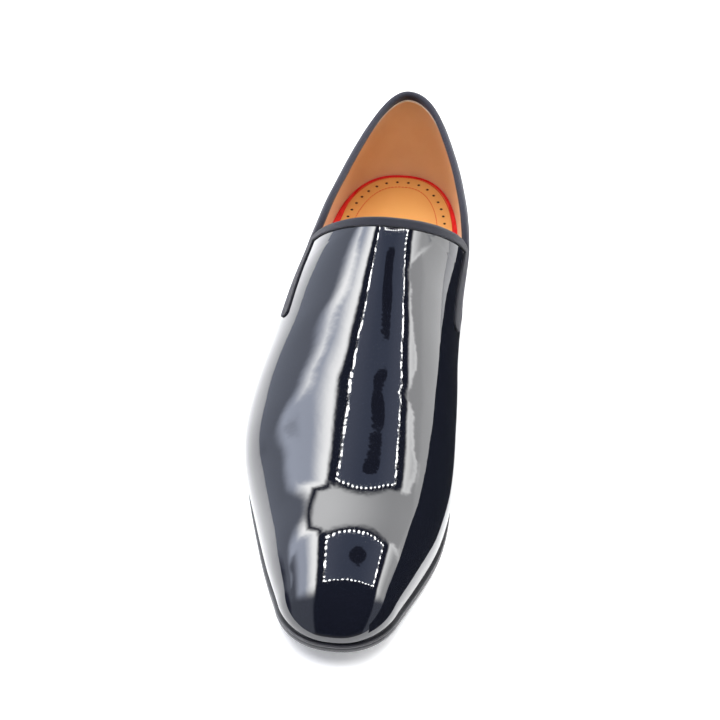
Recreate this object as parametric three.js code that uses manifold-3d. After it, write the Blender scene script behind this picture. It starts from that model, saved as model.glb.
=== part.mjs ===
// Patent leather loafer, the wearer's right shoe, standing empty on its sole.
// Millimetres, +Z up. The toe points to -Y and the inner (medial) side of the foot to +X.
// The origin is on the floor under the middle of the heel.
// Places along the shoe are measured forward from the back of the sole and are called "along".
import * as THREE from 'three';
import { mergeVertices } from 'three/addons/utils/BufferGeometryUtils.js';
import Module from 'manifold-3d';

// Driving sizes
const length = 304;
const ballWidth = 100;
const instepHeight = 88;
const heelHeight = 17;
const heelLength = 64;
const soleThickness = 4;
const toeSpring = 9.5;
const wall = 1.7;
const insoleThickness = 3.2;
const topLiftThickness = 6;
const ribbonThickness = 0.7;
const ribbonOutside = 3.4;
const ribbonInside = 2.6;
const clearance = 0.3;

// Where the sole stands on the floor, as shares of the length
const treadBack = 0.62;
const treadFront = 0.70;
const springPower = 1.9;

// How the last closes at its two ends. The heel's rounding begins heelRoundBack behind the heel's front.
const toeRound = 20;
const toePower = 2.3;
const noseRound = 24;
const nosePower = 2.5;
const heelRoundBack = 4;
const heelPowerLow = 2.45;
const heelPowerHigh = 2;
const heelTuck = 4.9;
const heelBow = 1;
const collarShare = 0.6;
const heelRound = heelLength - heelRoundBack;

// How far the sole's edge stands out past the upper at the toe, where along its length that begins and
// is full, its share at the back of the heel, and its rounded lower corner
const soleProud = 1.4;
const proudBegins = 0.45;
const proudFull = 0.85;
const proudHeelShare = 0.5;
const soleCorner = 0.8;
const heelInsetTop = 0.6;
const heelInsetFloor = 2.2;
const breastHollow = 3.5;
const insoleSlack = 0.5;

// Fineness of the faceted forms
const bodyStep = 11;
const toeSteps = 7;
const heelSteps = 8;
const wallSteps = 12;

// The last, a row for each section. Along is a share of the length. Lateral and medial are the widths
// at the sole's edge, bulgeL and bulgeM swell the two walls, and lean moves the ridge, all as shares of
// the ball width. RunL and runM say how far the top stays wide. Top is a share of the instep height.
// Rise is the height of the swelling as a share of the section's height.
const lastRows = [
  { along: 0.00, lateral: 0.330, medial: 0.310, bulgeL: 0.05, bulgeM: 0.06, runL: 0.54, runM: 0.90,
    top: 1.100, lean: 0.020, rise: 0.38 },
  { along: 0.11, lateral: 0.342, medial: 0.320, bulgeL: 0.06, bulgeM: 0.055, runL: 0.43, runM: 0.76,
    top: 1.100, lean: 0.022, rise: 0.38 },
  { along: 0.20, lateral: 0.356, medial: 0.324, bulgeL: 0.10, bulgeM: 0.12, runL: 0.44, runM: 0.82,
    top: 1.120, lean: 0.022, rise: 0.38 },
  { along: 0.27, lateral: 0.370, medial: 0.320, bulgeL: 0.14, bulgeM: 0.167, runL: 0.52, runM: 0.95,
    top: 1.120, lean: 0.022, rise: 0.38 },
  { along: 0.33, lateral: 0.392, medial: 0.318, bulgeL: 0.17, bulgeM: 0.18, runL: 0.42, runM: 0.92,
    top: 1.080, lean: 0.022, rise: 0.40 },
  { along: 0.38, lateral: 0.418, medial: 0.325, bulgeL: 0.18, bulgeM: 0.20, runL: 0.50, runM: 0.68,
    top: 1.000, lean: 0.022, rise: 0.44 },
  { along: 0.46, lateral: 0.470, medial: 0.345, bulgeL: 0.17, bulgeM: 0.17, runL: 0.56, runM: 0.60,
    top: 0.885, lean: 0.026, rise: 0.48 },
  { along: 0.55, lateral: 0.520, medial: 0.380, bulgeL: 0.16, bulgeM: 0.14, runL: 0.56, runM: 0.56,
    top: 0.765, lean: 0.026, rise: 0.50 },
  { along: 0.64, lateral: 0.530, medial: 0.408, bulgeL: 0.13, bulgeM: 0.11, runL: 0.54, runM: 0.54,
    top: 0.648, lean: 0.030, rise: 0.52 },
  { along: 0.72, lateral: 0.478, medial: 0.414, bulgeL: 0.09, bulgeM: 0.08, runL: 0.54, runM: 0.54,
    top: 0.540, lean: 0.032, rise: 0.54 },
  { along: 0.76, lateral: 0.441, medial: 0.405, bulgeL: 0.07, bulgeM: 0.06, runL: 0.56, runM: 0.56,
    top: 0.491, lean: 0.030, rise: 0.55 },
  { along: 0.80, lateral: 0.403, medial: 0.384, bulgeL: 0.06, bulgeM: 0.05, runL: 0.58, runM: 0.58,
    top: 0.459, lean: 0.026, rise: 0.56 },
  { along: 0.84, lateral: 0.364, medial: 0.349, bulgeL: 0.05, bulgeM: 0.04, runL: 0.60, runM: 0.62,
    top: 0.437, lean: 0.018, rise: 0.57 },
  { along: 0.88, lateral: 0.322, medial: 0.306, bulgeL: 0.04, bulgeM: 0.04, runL: 0.62, runM: 0.66,
    top: 0.402, lean: 0.014, rise: 0.58 },
  { along: 0.92, lateral: 0.275, medial: 0.261, bulgeL: 0.03, bulgeM: 0.03, runL: 0.62, runM: 0.70,
    top: 0.357, lean: 0.012, rise: 0.58 },
  { along: 0.96, lateral: 0.233, medial: 0.221, bulgeL: 0.03, bulgeM: 0.03, runL: 0.62, runM: 0.70,
    top: 0.310, lean: 0.010, rise: 0.58 },
  { along: 1.00, lateral: 0.200, medial: 0.190, bulgeL: 0.02, bulgeM: 0.02, runL: 0.62, runM: 0.68,
    top: 0.262, lean: 0.010, rise: 0.58 },
];

// The opening seen from the side: along as a share of the length, up as a share of the instep height.
// The collar runs from behind the heel down to the notch, and the throat climbs from the notch.
const collarRows = [
  { along: -0.033, up: 0.950 },
  { along: 0.015, up: 0.932 },
  { along: 0.079, up: 0.892 },
  { along: 0.145, up: 0.856 },
  { along: 0.194, up: 0.830 },
  { along: 0.263, up: 0.786 },
  { along: 0.292, up: 0.744 },
  { along: 0.318, up: 0.682 },
];
const throatRows = [
  { along: 0.318, up: 0.682 },
  { along: 0.331, up: 0.784 },
  { along: 0.345, up: 0.869 },
  { along: 0.358, up: 0.943 },
  { along: 0.371, up: 1.006 },
  { along: 0.389, up: 1.080 },
];
const tailEnd = { along: 0.460, up: 0.540 };
const tailCorner = 0.8;
const collarSteps = 16;
const throatSteps = 9;
const tailSteps = 4;

const wasm = await Module();
wasm.setup();

// Natural cubic spline through one column of a table
function column(rows, key) {
  const xs = rows.map((row) => row.along);
  const ys = rows.map((row) => row[key]);
  const count = xs.length;
  const slope = new Array(count).fill(0);
  const carry = new Array(count).fill(0);
  const bend = new Array(count).fill(0);
  for (let i = 1; i < count - 1; i += 1) {
    const before = xs[i] - xs[i - 1];
    const after = xs[i + 1] - xs[i];
    const pivot = 2 * (before + after) - before * slope[i - 1];
    const change = (ys[i + 1] - ys[i]) / after - (ys[i] - ys[i - 1]) / before;
    slope[i] = after / pivot;
    carry[i] = (6 * change - before * carry[i - 1]) / pivot;
  }
  for (let i = count - 2; i > 0; i -= 1) {
    bend[i] = carry[i] - slope[i] * bend[i + 1];
  }
  return (x) => {
    const at = Math.min(Math.max(x, xs[0]), xs[count - 1]);
    let i = 0;
    while (i < count - 2 && at > xs[i + 1]) {
      i += 1;
    }
    const span = xs[i + 1] - xs[i];
    const near = (xs[i + 1] - at) / span;
    const far = (at - xs[i]) / span;
    const curve = (near ** 3 - near) * bend[i] + (far ** 3 - far) * bend[i + 1];
    return near * ys[i] + far * ys[i + 1] + curve * span * span / 6;
  };
}

const lastKeys = Object.keys(lastRows[0]).filter((key) => key !== 'along');
const shape = Object.fromEntries(lastKeys.map((key) => [key, column(lastRows, key)]));

// Underside of the sole: level at the heel, arched at the waist, level under the ball, sprung at the toe
function soleUnderside(along) {
  const back = heelLength;
  const front = treadBack * length;
  const u = THREE.MathUtils.clamp((along - back) / (front - back), 0, 1);
  const spring = Math.max((along / length - treadFront) / (1 - treadFront), 0);
  return heelHeight * (1 - THREE.MathUtils.smootherstep(u, 0, 1)) + toeSpring * spring ** springPower;
}

function soleTop(along) {
  return soleUnderside(along) + soleThickness;
}

// Round end of a form: 0 at the very end, 1 from one radius inwards
function roundEnd(distance, radius, power) {
  const x = THREE.MathUtils.clamp(1 - distance / radius, 0, 1);
  return (1 - x ** power) ** (1 / power);
}

function tipAlong(inset) {
  return length - soleProud - inset;
}

// One side's wall at a share t of the way from the sole's edge up to the ridge.
// Inset moves the whole form inwards, or outwards where it is negative.
function wallAt(along, side, t, inset) {
  const at = along / length;
  const distance = Math.max(tipAlong(inset) - along, 0);
  const close = roundEnd(distance, toeRound, toePower);
  const [lateral, medial] = [shape.lateral(at), shape.medial(at)].map((share) => share * ballWidth - inset);
  const width = (side < 0 ? lateral : medial) * close;
  const ridge = (lateral + medial) / 2 * close;
  const bulge = shape[side < 0 ? 'bulgeL' : 'bulgeM'](at) * ballWidth * close;
  const run = shape[side < 0 ? 'runL' : 'runM'](at);
  const floor = soleTop(along) + clearance;
  const height = (shape.top(at) * instepHeight - inset - floor) * roundEnd(distance, noseRound, nosePower);
  const c0 = (1 - t) ** 3;
  const c1 = 3 * (1 - t) ** 2 * t;
  const c2 = 3 * (1 - t) * t * t;
  const c3 = t ** 3;
  return {
    lean: shape.lean(at) * ballWidth * close * (c2 + c3),
    half: width * (c0 + c1) + ridge * c2 * run + bulge * c1,
    up: floor + height * (c1 * shape.rise(at) + c2 + c3),
  };
}

function proudAt(along) {
  const heel = proudHeelShare * (1 - THREE.MathUtils.smoothstep(along, 0, heelRound));
  return soleProud * (heel + THREE.MathUtils.smoothstep(along / length, proudBegins, proudFull));
}

// Shape of the back of the heel at height share t
function backAlong(t, inset) {
  const u = t / collarShare;
  return proudAt(0) + inset + heelTuck * u * u - 4 * heelBow * u * (1 - u);
}

// A point of the last, where turn is 0 ahead of the heel's rounding and up to a right angle behind it
function lastPoint(station, side, t, inset) {
  let along = station.along;
  let narrow = 1;
  if (station.turn > 0) {
    const power = THREE.MathUtils.lerp(heelPowerLow, heelPowerHigh, Math.min(t / collarShare, 1));
    const across = Math.max(Math.cos(station.turn), 0);
    const behind = Math.sin(station.turn);
    const scale = (across ** power + behind ** power) ** (-1 / power);
    along = heelRound - (heelRound - backAlong(t, inset)) * behind * scale;
    narrow = across * scale;
  }
  const at = wallAt(along, side, t, inset);
  return new THREE.Vector3(at.lean + side * at.half * narrow, heelLength / 2 - along, at.up);
}

// Values between the stops, no further apart than step
function spread(stops, step) {
  const values = [stops[0]];
  for (let i = 1; i < stops.length; i += 1) {
    const count = Math.max(1, Math.ceil(Math.abs(stops[i] - stops[i - 1]) / step));
    for (let k = 1; k <= count; k += 1) {
      values.push(THREE.MathUtils.lerp(stops[i - 1], stops[i], k / count));
    }
  }
  return values;
}

// Stations from the toe's tip back to the heel. Ahead of the tread they follow the tip as it moves.
function stationsFor(inset) {
  const tip = tipAlong(0);
  const front = treadFront * length;
  const stations = [];
  for (let k = 0; k < toeSteps; k += 1) {
    const angle = (k / toeSteps) * (Math.PI / 2);
    stations.push({ along: tip - toeRound * (1 - Math.cos(angle)), turn: 0 });
  }
  for (const along of spread([tip - toeRound, front, treadBack * length, heelLength, heelRound], bodyStep)) {
    stations.push({ along, turn: 0 });
  }
  for (const station of stations) {
    station.along -= inset * Math.max((station.along - front) / (tip - front), 0);
  }
  for (let k = 1; k <= heelSteps; k += 1) {
    stations.push({ along: heelRound, turn: (k / heelSteps) * (Math.PI / 2) });
  }
  return stations;
}

// A closed geometry with shared vertices, without the slivers where points coincide
function closedGeometry(positions, indices) {
  const raw = new THREE.BufferGeometry();
  raw.setAttribute('position', new THREE.Float32BufferAttribute(positions, 3));
  raw.setIndex(indices);
  const merged = mergeVertices(raw, 1e-4);
  const index = merged.getIndex().array;
  const kept = [];
  for (let i = 0; i < index.length; i += 3) {
    const [a, b, c] = [index[i], index[i + 1], index[i + 2]];
    if (a !== b && b !== c && c !== a) {
      kept.push(a, b, c);
    }
  }
  merged.setIndex(kept);
  return merged;
}

// Closed rings of points joined one to the next; flat end rings are capped
function loft(rings, capped = false) {
  const count = rings[0].length;
  const positions = rings.flat().flatMap((point) => [point.x, point.y, point.z]);
  const indices = [];
  for (let i = 0; i < rings.length - 1; i += 1) {
    for (let j = 0; j < count; j += 1) {
      const next = (j + 1) % count;
      const a = i * count + j;
      const b = i * count + next;
      const c = (i + 1) * count + j;
      const d = (i + 1) * count + next;
      indices.push(a, b, d, a, d, c);
    }
  }
  if (capped) {
    const outline = rings[0].map((point) => new THREE.Vector2(point.x, point.y));
    const top = (rings.length - 1) * count;
    for (const [a, b, c] of THREE.ShapeUtils.triangulateShape(outline, [])) {
      indices.push(c, b, a, top + a, top + b, top + c);
    }
  }
  return closedGeometry(positions, indices);
}

function toSolid(geometry) {
  const mesh = new wasm.Mesh({
    numProp: 3,
    vertProperties: Float32Array.from(geometry.getAttribute('position').array),
    triVerts: Uint32Array.from(geometry.getIndex().array),
  });
  return new wasm.Manifold(mesh);
}

// The whole last at one inset. Skirt carries its lower edge down, for cutting right through.
function lastForm(inset, skirt = 0) {
  const rings = stationsFor(inset).map((station) => {
    const ring = [];
    for (const side of [-1, 1]) {
      const levels = [];
      for (let k = 0; k <= wallSteps; k += 1) {
        levels.push(lastPoint(station, side, k / wallSteps, inset));
      }
      if (skirt > 0) {
        const low = levels[0].clone();
        low.z -= skirt;
        levels.unshift(low);
      }
      ring.push(...(side < 0 ? levels : levels.reverse().slice(1)));
    }
    return ring;
  });
  return toSolid(loft(rings));
}

// Side view: points along and up, made into a prism right across the shoe
function acrossPrism(points) {
  const reach = ballWidth;
  const outline = new THREE.Shape(points.map((point) => new THREE.Vector2(heelLength / 2 - point.x, point.y)));
  const raw = new THREE.ExtrudeGeometry(outline, { depth: 2 * reach, bevelEnabled: false });
  const axes = new THREE.Matrix4().makeBasis(
    new THREE.Vector3(0, 1, 0),
    new THREE.Vector3(0, 0, 1),
    new THREE.Vector3(1, 0, 0),
  );
  raw.applyMatrix4(axes);
  raw.translate(-reach, 0, 0);
  raw.deleteAttribute('normal');
  raw.deleteAttribute('uv');
  const merged = mergeVertices(raw, 1e-4);
  return toSolid(merged);
}

// Points of one edge of the opening in the side view, in millimetres
function edgeLine(rows, steps) {
  const up = column(rows, 'up');
  const first = rows[0].along;
  const last = rows[rows.length - 1].along;
  const points = [];
  for (let k = 0; k <= steps; k += 1) {
    const at = THREE.MathUtils.lerp(first, last, k / steps);
    points.push(new THREE.Vector2(at * length, up(at) * instepHeight));
  }
  return points;
}

const collarLine = edgeLine(collarRows, collarSteps);
const throatLine = edgeLine(throatRows, throatSteps);
const notch = throatLine[0];
const tailPoint = new THREE.Vector2(tailEnd.along * length, tailEnd.up * instepHeight);
const tailWay = tailPoint.clone().sub(notch).normalize();

// A line moved sideways to its left by a distance, with mitred corners
function sideStep(line, distance) {
  return line.map((point, i) => {
    const before = i > 0 ? point.clone().sub(line[i - 1]).normalize() : null;
    const after = i < line.length - 1 ? line[i + 1].clone().sub(point).normalize() : null;
    const way = (before ?? after).clone().add(after ?? before).normalize();
    const mitre = way.dot(after ?? before);
    const left = new THREE.Vector2(-way.y, way.x);
    return point.clone().addScaledVector(left, distance / mitre);
  });
}

// Above the notch the two ribbons part along the line that halves it
function notchPoint(lift) {
  const back = collarLine[collarLine.length - 2].clone().sub(notch).normalize();
  const front = throatLine[1].clone().sub(notch).normalize();
  const half = Math.acos(back.dot(front)) / 2;
  const way = back.add(front).normalize();
  return notch.clone().addScaledVector(way, lift / Math.sin(half));
}

// Everything above the opening's edge, raised by lift
function openingCut(lift) {
  const sky = 3 * instepHeight;
  const collar = sideStep(collarLine, lift).slice(0, -1);
  const throat = sideStep(throatLine, lift).slice(1);
  const corners = [throat[throat.length - 1], collar[0]].map((point) => new THREE.Vector2(point.x, sky));
  return acrossPrism([...collar, notchPoint(lift), ...throat, ...corners]);
}

// A ribbon's band in the side view. Its edge runs from the far end to the notch, with the rim on the
// opening's side, and a tail goes on down the seam. Forward is -1 for the collar's band and 1 for the
// throat's, which lies ahead of the seam.
function bandPrism(edge, forward) {
  const rim = clearance + ribbonThickness;
  const sideways = new THREE.Vector2(-tailWay.y, tailWay.x).multiplyScalar(forward);
  const besideSeam = (point) => point.clone().addScaledVector(sideways, clearance / 2);
  const opening = sideStep(edge, -forward * rim).slice(0, -1);
  const lower = sideStep([...edge, tailPoint], forward * ribbonOutside);
  const radius = tailCorner * ribbonOutside;
  const centre = lower.pop().addScaledVector(tailWay, -radius).addScaledVector(sideways, -radius);
  for (let k = 0; k <= tailSteps; k += 1) {
    const angle = (k / tailSteps) * (Math.PI / 2);
    const point = centre.clone().addScaledVector(tailWay, radius * Math.sin(angle));
    lower.push(point.addScaledVector(sideways, radius * Math.cos(angle)));
  }
  const seam = [notchPoint(rim), notch, tailPoint].map(besideSeam);
  return acrossPrism([...opening, ...seam, ...lower.reverse()]);
}

// A point at the foot of the wall, moved inwards by into and outwards by what outFor says there
function edgePoint(station, side, into, outFor) {
  const along = heelLength / 2 - lastPoint(station, side, 0, 0).y;
  return lastPoint(station, side, 0, into - outFor(along));
}

// A plate that follows the sole's outline between two heights, with a rounded lower corner
function plate(outFor, low, high, corner) {
  const steps = [
    { into: corner, up: low },
    { into: 0, up: (along) => low(along) + corner },
    { into: 0, up: high },
  ];
  const levels = steps.map((step) => ({ ...step, stations: stationsFor(step.into - outFor(length)) }));
  const rings = levels[0].stations.map((_, i) => {
    const edges = [-1, 1].map((side) => levels.map(({ into, up, stations }) => {
      const point = edgePoint(stations[i], side, into, outFor);
      point.z = up(heelLength / 2 - point.y);
      return point;
    }));
    return [...edges[0], ...edges[1].reverse()];
  });
  return toSolid(loft(rings));
}

// The outline of the heel's stack at one height: round the back, then across its hollow front
function heelRing(inset, up) {
  const stations = [{ along: heelLength - inset, turn: 0 }];
  for (let k = 1; k <= heelSteps; k += 1) {
    stations.push({ along: heelRound, turn: (k / heelSteps) * (Math.PI / 2) });
  }
  const [lateral, medial] = [-1, 1].map((side) => {
    return stations.map((station) => edgePoint(station, side, inset, proudAt));
  });
  const ring = [...lateral, ...medial.reverse().slice(1)];
  for (let k = 1; k < heelSteps; k += 1) {
    const point = medial[medial.length - 1].clone().lerp(lateral[0], k / heelSteps);
    point.y += breastHollow * Math.sin((k / heelSteps) * Math.PI);
    ring.push(point);
  }
  return ring.map((point) => new THREE.Vector3(point.x, point.y, up)).reverse();
}

function heelPiece(low, high) {
  const rings = [low, high].map((up) => {
    return heelRing(THREE.MathUtils.lerp(heelInsetFloor, heelInsetTop, up / heelHeight), up);
  });
  return toSolid(loft(rings, true));
}

function upperPiece() {
  return lastForm(0).subtract(lastForm(wall, soleThickness)).subtract(openingCut(0));
}

// A ribbon folded over the upper's edge, with its outer and inner legs and its tails
function ribbonPiece(edge, forward) {
  const leg = clearance + ribbonThickness;
  const sleeve = lastForm(-leg).subtract(lastForm(wall + leg, soleThickness));
  const room = lastForm(-clearance, soleThickness).subtract(lastForm(wall + clearance, 2 * soleThickness));
  const below = lastForm(wall / 2, 2 * soleThickness).subtract(openingCut(-ribbonInside));
  const band = bandPrism(edge, forward);
  return sleeve.intersect(band).subtract(room.subtract(openingCut(clearance))).subtract(below);
}

function insolePiece() {
  const low = (along) => soleTop(along) + clearance;
  const inset = wall + clearance + insoleSlack;
  return plate(() => -inset, low, (along) => low(along) + insoleThickness, soleCorner);
}

function outsolePiece() {
  return plate(proudAt, soleUnderside, soleTop, soleCorner);
}

// Materials
const patent = { color: 0x0d0f16, roughness: 0.06, metalness: 0 };
const ribbed = { color: 0x3a3a48, roughness: 0.8, metalness: 0 };
const soleEdgeBlack = { color: 0x15151a, roughness: 0.45, metalness: 0 };
const rubber = { color: 0x121214, roughness: 0.85, metalness: 0 };
const tan = { color: 0xe0a050, roughness: 0.55, metalness: 0 };

const shoe = new THREE.Group();

function addPiece(name, solid, finish) {
  const { vertProperties, triVerts } = solid.getMesh();
  const geometry = new THREE.BufferGeometry();
  geometry.setAttribute('position', new THREE.Float32BufferAttribute(vertProperties, 3));
  geometry.setIndex(Array.from(triVerts));
  geometry.computeVertexNormals();
  const mesh = new THREE.Mesh(geometry, new THREE.MeshStandardMaterial(finish));
  mesh.name = name;
  shoe.add(mesh);
}

addPiece('outsole', outsolePiece(), soleEdgeBlack);
addPiece('heel_base', heelPiece(topLiftThickness, heelHeight), soleEdgeBlack);
addPiece('top_lift', heelPiece(0, topLiftThickness), rubber);
addPiece('upper', upperPiece(), patent);
addPiece('insole', insolePiece(), tan);
addPiece('collar_ribbon', ribbonPiece(collarLine, -1), ribbed);
addPiece('throat_ribbon', ribbonPiece(throatLine.toReversed(), 1), ribbed);

export default shoe;
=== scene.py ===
"""A patent leather loafer, the wearer's right shoe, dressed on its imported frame.

The toe points to -Y, the inner (medial) side of the foot to +X, +Z is up. Forms are worked out in
millimetres and turned into metres when a mesh is made. Places along the shoe are measured forward
from the back of the sole and are called "along".
"""
import math

import bpy
import numpy as np
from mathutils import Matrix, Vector


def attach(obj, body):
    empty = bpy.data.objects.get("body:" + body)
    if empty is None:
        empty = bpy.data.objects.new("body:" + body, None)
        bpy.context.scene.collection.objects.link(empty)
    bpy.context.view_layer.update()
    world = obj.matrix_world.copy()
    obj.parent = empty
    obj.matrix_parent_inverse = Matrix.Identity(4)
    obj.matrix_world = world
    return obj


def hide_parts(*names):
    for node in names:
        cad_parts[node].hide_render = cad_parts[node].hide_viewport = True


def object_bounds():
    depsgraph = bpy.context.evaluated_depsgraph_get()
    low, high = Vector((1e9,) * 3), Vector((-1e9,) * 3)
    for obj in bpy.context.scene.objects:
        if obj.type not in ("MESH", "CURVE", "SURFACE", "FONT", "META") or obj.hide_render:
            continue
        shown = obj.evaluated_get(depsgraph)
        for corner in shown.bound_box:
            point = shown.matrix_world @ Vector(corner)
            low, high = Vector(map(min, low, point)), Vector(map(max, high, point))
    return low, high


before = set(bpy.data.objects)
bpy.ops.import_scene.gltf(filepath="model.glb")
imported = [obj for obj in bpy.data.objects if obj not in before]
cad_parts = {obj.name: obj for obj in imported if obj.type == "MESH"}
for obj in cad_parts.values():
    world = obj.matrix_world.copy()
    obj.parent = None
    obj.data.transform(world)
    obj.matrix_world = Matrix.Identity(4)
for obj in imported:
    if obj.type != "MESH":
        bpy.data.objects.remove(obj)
cad_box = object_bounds()

MM = 0.001
RIGHT_ANGLE = math.pi / 2
LATERAL = -1
MEDIAL = 1
SIDES = (LATERAL, MEDIAL)

# Sizes of the shoe, in millimetres
LENGTH = 304.0
BALL_WIDTH = 100.0
INSTEP_HEIGHT = 88.0
HEEL_HEIGHT = 17.0
HEEL_LENGTH = 64.0
SOLE_THICKNESS = 4.0
TOE_SPRING = 9.5
WALL = 1.7
PATENT_THICKNESS = 0.9
INSOLE_THICKNESS = 3.2
TOP_LIFT = 6.0
RIBBON_THICKNESS = 0.8
RIBBON_OUTSIDE = 3.4
RIBBON_INSIDE = 2.6
TAIL_CORNER = 2.7
CLEARANCE = 0.3
TOE_ROUND = 20.0
NOSE_ROUND = 24.0
HEEL_ROUND = HEEL_LENGTH - 4.0
HEEL_TUCK = 4.9
HEEL_BOW = 1.0
SOLE_PROUD = 1.4
HEEL_INSET_TOP = 0.6
HEEL_INSET_FLOOR = 2.2
BREAST_HOLLOW = 3.5
INSOLE_SLACK = 0.5
SOCK_EDGE = WALL + CLEARANCE + INSOLE_SLACK
RIM_RADIUS = 0.85

# Shares of the length, the wall and the proud edge, and powers of the curves
TREAD_BACK = 0.62
TREAD_FRONT = 0.70
COLLAR_SHARE = 0.6
PROUD_BEGINS = 0.45
PROUD_FULL = 0.85
PROUD_HEEL_SHARE = 0.5
SPRING_POWER = 1.9
TOE_POWER = 2.3
NOSE_POWER = 2.5
HEEL_POWER_LOW = 2.45
HEEL_POWER_HIGH = 2.0

# Counts of steps along each piece: round the heel, quarter, throat, vamp and toe. Rows run up the wall.
SKIN_STEPS = (44, 26, 22, 120, 28)
SKIN_ROWS = 96
LINING_STEPS = (36, 20, 14, 50, 12)
LINING_ROWS = 40
SOLE_STEPS = (40, 24, 10, 90, 26)
SOCK_STEPS = (40, 24, 10, 60, 20)

# The last, a row for each section. Along is a share of the length. Lateral and medial are the widths
# at the sole's edge, the bulges swell the two walls and lean moves the ridge, all as shares of the
# ball width. The runs say how far the top stays wide. Top is a share of the instep height, and rise
# is the height of the swelling as a share of the section's height.
LAST_COLUMNS = ("along", "lateral", "medial", "bulge_l", "bulge_m", "run_l", "run_m", "top", "lean", "rise")
LAST_ROWS = (
    (0.00, 0.330, 0.310, 0.05, 0.06, 0.54, 0.90, 1.100, 0.020, 0.38),
    (0.11, 0.342, 0.320, 0.06, 0.055, 0.43, 0.76, 1.100, 0.022, 0.38),
    (0.20, 0.356, 0.324, 0.10, 0.12, 0.44, 0.82, 1.120, 0.022, 0.38),
    (0.27, 0.370, 0.320, 0.14, 0.167, 0.52, 0.95, 1.120, 0.022, 0.38),
    (0.33, 0.392, 0.318, 0.17, 0.18, 0.42, 0.92, 1.080, 0.022, 0.40),
    (0.38, 0.418, 0.325, 0.18, 0.20, 0.50, 0.68, 1.000, 0.022, 0.44),
    (0.46, 0.470, 0.345, 0.17, 0.17, 0.56, 0.60, 0.885, 0.026, 0.48),
    (0.55, 0.520, 0.380, 0.16, 0.14, 0.56, 0.56, 0.765, 0.026, 0.50),
    (0.64, 0.530, 0.408, 0.13, 0.11, 0.54, 0.54, 0.648, 0.030, 0.52),
    (0.72, 0.478, 0.414, 0.09, 0.08, 0.54, 0.54, 0.540, 0.032, 0.54),
    (0.76, 0.441, 0.405, 0.07, 0.06, 0.56, 0.56, 0.491, 0.030, 0.55),
    (0.80, 0.403, 0.384, 0.06, 0.05, 0.58, 0.58, 0.459, 0.026, 0.56),
    (0.84, 0.364, 0.349, 0.05, 0.04, 0.60, 0.62, 0.437, 0.018, 0.57),
    (0.88, 0.322, 0.306, 0.04, 0.04, 0.62, 0.66, 0.402, 0.014, 0.58),
    (0.92, 0.275, 0.261, 0.03, 0.03, 0.62, 0.70, 0.357, 0.012, 0.58),
    (0.96, 0.233, 0.221, 0.03, 0.03, 0.62, 0.70, 0.310, 0.010, 0.58),
    (1.00, 0.200, 0.190, 0.02, 0.02, 0.62, 0.68, 0.262, 0.010, 0.58),
)

# The opening seen from the side: along as a share of the length, up as a share of the instep height
COLLAR_ROWS = (
    (-0.033, 0.950),
    (0.015, 0.932),
    (0.079, 0.892),
    (0.145, 0.856),
    (0.194, 0.830),
    (0.263, 0.786),
    (0.292, 0.744),
    (0.318, 0.682),
)
THROAT_ROWS = (
    (0.318, 0.682),
    (0.331, 0.784),
    (0.345, 0.869),
    (0.358, 0.943),
    (0.371, 1.006),
    (0.389, 1.080),
)
NOTCH_ALONG = 0.318 * LENGTH
TAIL_END = (0.460 * LENGTH, 0.540 * INSTEP_HEIGHT)

# Soft creases of the vamp, in millimetres and degrees. Along and aside place the middle of each, reach
# is how far it runs forward and back, spread how far to the sides, and turn is how far it is turned
# from straight across. A trough has a negative height.
CREASE_COLUMNS = ("along", "aside", "reach", "spread", "turn", "height")
CREASES = (
    (185, 3, 13, 36, 0, -0.45),
    (228, 0, 18, 30, 0, 0.75),
    (150, -27, 8, 11, 24, 0.20),
    (168, -31, 9, 13, 28, -0.22),
    (196, -40, 10, 13, 22, 0.24),
    (214, -38, 8, 12, 18, -0.20),
    (146, 27, 8, 10, -20, -0.16),
    (166, 29, 9, 11, -24, 0.18),
    (204, 32, 9, 11, -18, -0.18),
    (238, -24, 7, 9, 30, -0.20),
    (240, 27, 7, 9, -30, -0.20),
)

# The sock's stitches and pinholes, in millimetres. Into is how far inside the sock's edge a line runs,
# front is how far along it begins, and lift is its height over the sock.
STITCH_COLUMNS = ("name", "into", "front", "lift", "length", "gap", "radius")
STITCH_ROWS = (
    ("sock_edge_stitches", 0.9, 88, 0.05, 1.1, 0.25, 0.28),
    ("sock_inner_stitches", 8.6, 88, 0.02, 1.5, 0.30, 0.20),
)
HOLE_LINE = {"into": 4.7, "front": 78, "lift": 0.03}
HOLE_PITCH = 5.7
HOLE_RADIUS = 0.75


# The form of the last

def spline(xs, ys):
    """A natural cubic spline through the points, level past its ends."""
    xs = np.asarray(xs, float)
    ys = np.asarray(ys, float)
    count = len(xs)
    steps = np.diff(xs)
    system = np.eye(count)
    change = np.zeros(count)
    for i in range(1, count - 1):
        system[i, i - 1:i + 2] = steps[i - 1], 2 * (steps[i - 1] + steps[i]), steps[i]
        change[i] = 6 * ((ys[i + 1] - ys[i]) / steps[i] - (ys[i] - ys[i - 1]) / steps[i - 1])
    bend = np.linalg.solve(system, change)

    def at(x):
        x = np.clip(x, xs[0], xs[-1])
        i = np.clip(np.searchsorted(xs, x, side="right") - 1, 0, count - 2)
        near = (xs[i + 1] - x) / steps[i]
        far = (x - xs[i]) / steps[i]
        curve = (near ** 3 - near) * bend[i] + (far ** 3 - far) * bend[i + 1]
        return near * ys[i] + far * ys[i + 1] + curve * steps[i] ** 2 / 6

    return at


SHARES = {name: spline(*zip(*[(row[0], row[k]) for row in LAST_ROWS]))
          for k, name in enumerate(LAST_COLUMNS) if k}
COLLAR_UP = spline(*zip(*COLLAR_ROWS))
THROAT_UP = spline(*zip(*THROAT_ROWS))


def smooth(x, low, high):
    u = np.clip((x - low) / (high - low), 0, 1)
    return u * u * (3 - 2 * u)


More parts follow.
